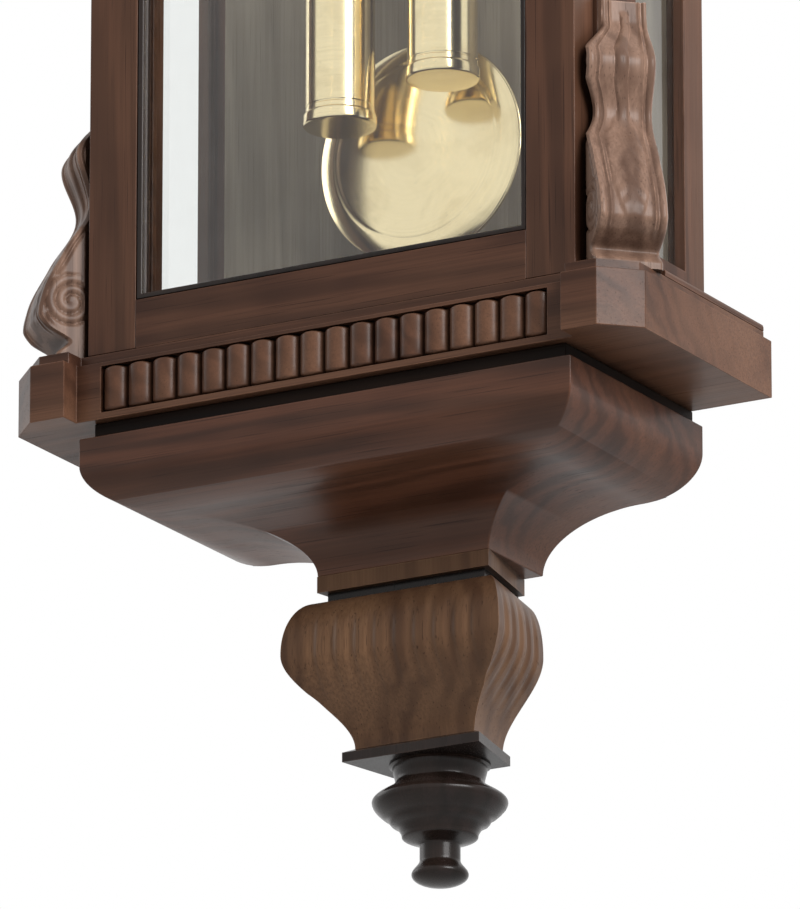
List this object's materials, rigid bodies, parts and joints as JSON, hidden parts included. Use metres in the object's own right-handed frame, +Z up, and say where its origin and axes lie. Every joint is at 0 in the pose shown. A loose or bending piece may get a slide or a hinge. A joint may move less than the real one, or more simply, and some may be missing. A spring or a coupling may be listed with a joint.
{
  "type": "vienna regulator clock",
  "caption": "Wall-hung regulator clock: glazed case with hinged door, corner consoles, ogee base and finial, weight-driven movement and long pendulum.",
  "frame": {"origin": "centre of the hanging hole in the brass plate at the top of the back, 1.5 mm in front of the wall plane y = 0", "axes": "+X to the viewer's right, +Y into the wall, +Z up; the clock hangs below the origin"},
  "size_m": [0.528, 0.2225, 1.4976],
  "materials": {
    "walnut_dark": "dark polished walnut, satin",
    "walnut": "reddish walnut, polished",
    "walnut_inner": "walnut veneer of the backboard, satin",
    "black_wood": "ebonised turned wood",
    "case_glass": "clear old glass",
    "polished_brass": "polished and lacquered",
    "plate_brass": "brushed plate brass",
    "hinge_brass": "aged brass",
    "blued_steel": "blued steel",
    "steel": "polished steel",
    "iron": "painted iron",
    "enamel": "white vitreous enamel",
    "rod_wood": "varnished straight-grained wood",
    "scale_white": "ivory-coloured enamel",
    "gut": "twisted gut"
  },
  "bodies": {
    "case": {"backboard": "walnut_inner", "hanger_plate": "hinge_brass", "steady_screws": "hinge_brass", "top_board": "walnut_dark", "side_frame_left": "walnut", "side_frame_right": "walnut", "side_glasses": "case_glass", "plinth_slab": "walnut", "reeded_fascia": "walnut", "side_skirts": "walnut", "ogee_base": "walnut", "pendant_block": "walnut", "end_finial": "black_wood", "console_left": "walnut", "console_right": "walnut", "upper_consoles": "walnut", "cornice": "walnut", "pediment": "walnut", "top_finials": "black_wood", "case_hinge_leaves": "hinge_brass", "beat_scale": "scale_white", "movement_bracket": "iron", "back_plate": "plate_brass", "front_plate": "plate_brass", "plate_pillars": "polished_brass", "suspension_cock": "plate_brass", "dial": "enamel", "dial_bezel": "polished_brass", "gong": "blued_steel", "line_left": "gut", "line_right": "gut"},
    "door": {"door_stile_left": "walnut", "door_stile_right": "walnut", "door_rail_top": "walnut", "door_rail_bottom": "walnut", "door_glass": "case_glass", "glass_beads": "walnut_dark", "door_hinge_leaves": "hinge_brass"},
    "latch": {"door_knob": "polished_brass"},
    "pendulum": {"suspension_spring": "steel", "pendulum_rod": "rod_wood", "bob": "polished_brass"},
    "nut": {"rating_nut": "polished_brass"},
    "escapement": {"anchor": "steel"},
    "centre": {"centre_wheel": "plate_brass", "minute_hand": "blued_steel"},
    "hour": {"hour_wheel": "plate_brass", "hour_hand": "blued_steel"},
    "motion": {"minute_wheel": "plate_brass"},
    "third": {"third_wheel": "plate_brass"},
    "escape": {"escape_wheel": "plate_brass"},
    "great_time": {"great_wheel_time": "plate_brass"},
    "time_drum": {"drum_time": "polished_brass"},
    "strike_drum": {"drum_strike": "polished_brass"},
    "striker": {"hammer": "steel"},
    "time_weight": {"weight_right": "polished_brass"},
    "strike_weight": {"weight_left": "polished_brass"},
    "time_pulley": {"pulley_right": "polished_brass"},
    "strike_pulley": {"pulley_left": "polished_brass"}
  },
  "joints": [
    {"name": "door_swing", "type": "hinge", "parent": "case", "child": "door", "pos_m": [0.201, -0.184, -0.52], "axis": [0, 0, 1], "range_deg": [0, 110]},
    {"name": "latch_turn", "type": "hinge", "parent": "door", "child": "latch", "pos_m": [-0.171, -0.168, -0.52], "axis": [0, -1, 0], "range_deg": [0, 90]},
    {"name": "pendulum_swing", "type": "hinge", "parent": "case", "child": "pendulum", "pos_m": [0, -0.052, -0.195], "axis": [0, 1, 0], "range_deg": [-4, 4]},
    {"name": "crutch_swing", "type": "hinge", "parent": "case", "child": "escapement", "pos_m": [0, -0.08, -0.195], "axis": [0, 1, 0], "range_deg": [-4, 4]},
    {"name": "rating_turn", "type": "hinge", "parent": "pendulum", "child": "nut", "pos_m": [0, -0.052, -0.874], "axis": [0, 0, 1], "range_deg": [-360, 360]},
    {"name": "minute_turn", "type": "hinge", "parent": "case", "child": "centre", "pos_m": [0, -0.1, -0.25], "axis": [0, 1, 0], "continuous": true},
    {"name": "hour_turn", "type": "hinge", "parent": "case", "child": "hour", "pos_m": [0, -0.13, -0.25], "axis": [0, 1, 0], "continuous": true},
    {"name": "motion_turn", "type": "hinge", "parent": "case", "child": "motion", "pos_m": [0, -0.123, -0.265], "axis": [0, 1, 0], "continuous": true},
    {"name": "third_turn", "type": "hinge", "parent": "case", "child": "third", "pos_m": [0.00447, -0.095, -0.22979], "axis": [0, 1, 0], "continuous": true},
    {"name": "escape_turn", "type": "hinge", "parent": "case", "child": "escape", "pos_m": [0, -0.095, -0.21338], "axis": [0, 1, 0], "continuous": true},
    {"name": "great_turn", "type": "hinge", "parent": "case", "child": "great_time", "pos_m": [0.038, -0.111, -0.26], "axis": [0, 1, 0], "continuous": true},
    {"name": "time_weight_travel", "type": "slide", "parent": "case", "child": "time_weight", "axis": [0, 0, 1], "range_m": [0, 0.22], "deforming": ["line_right"]},
    {"name": "strike_weight_travel", "type": "slide", "parent": "case", "child": "strike_weight", "axis": [0, 0, 1], "range_m": [0, 0.24], "deforming": ["line_left"]},
    {"name": "time_drum_turn", "type": "hinge", "parent": "case", "child": "time_drum", "pos_m": [0.038, -0.095, -0.26], "axis": [0, 1, 0], "range_deg": [-1390.2, 0]},
    {"name": "strike_drum_turn", "type": "hinge", "parent": "case", "child": "strike_drum", "pos_m": [-0.038, -0.095, -0.26], "axis": [0, 1, 0], "range_deg": [0, 1516.1]},
    {"name": "time_pulley_turn", "type": "hinge", "parent": "time_weight", "child": "time_pulley", "pos_m": [0.042, -0.095, -0.562], "axis": [0, 1, 0], "range_deg": [-892.7, 0]},
    {"name": "strike_pulley_turn", "type": "hinge", "parent": "strike_weight", "child": "strike_pulley", "pos_m": [-0.042, -0.095, -0.583], "axis": [0, 1, 0], "range_deg": [0, 973.4]},
    {"name": "hammer_lift", "type": "hinge", "parent": "case", "child": "striker", "pos_m": [-0.051, -0.03, -0.293], "axis": [0, 1, 0], "range_deg": [0, 20]}
  ],
  "couplings": [
    {"joint": "crutch_swing", "follows": "pendulum_swing", "ratio": 1},
    {"joint": "hour_turn", "follows": "minute_turn", "ratio": 0.083333},
    {"joint": "motion_turn", "follows": "minute_turn", "ratio": -0.33333},
    {"joint": "third_turn", "follows": "minute_turn", "ratio": -10.5},
    {"joint": "escape_turn", "follows": "minute_turn", "ratio": 78.75},
    {"joint": "great_turn", "follows": "minute_turn", "ratio": -0.125},
    {"joint": "time_drum_turn", "follows": "time_weight_travel", "rad_per_m": -109.89},
    {"joint": "strike_drum_turn", "follows": "strike_weight_travel", "rad_per_m": 109.89},
    {"joint": "time_pulley_turn", "follows": "time_weight_travel", "rad_per_m": -70.422},
    {"joint": "strike_pulley_turn", "follows": "strike_weight_travel", "rad_per_m": 70.422}
  ]
}
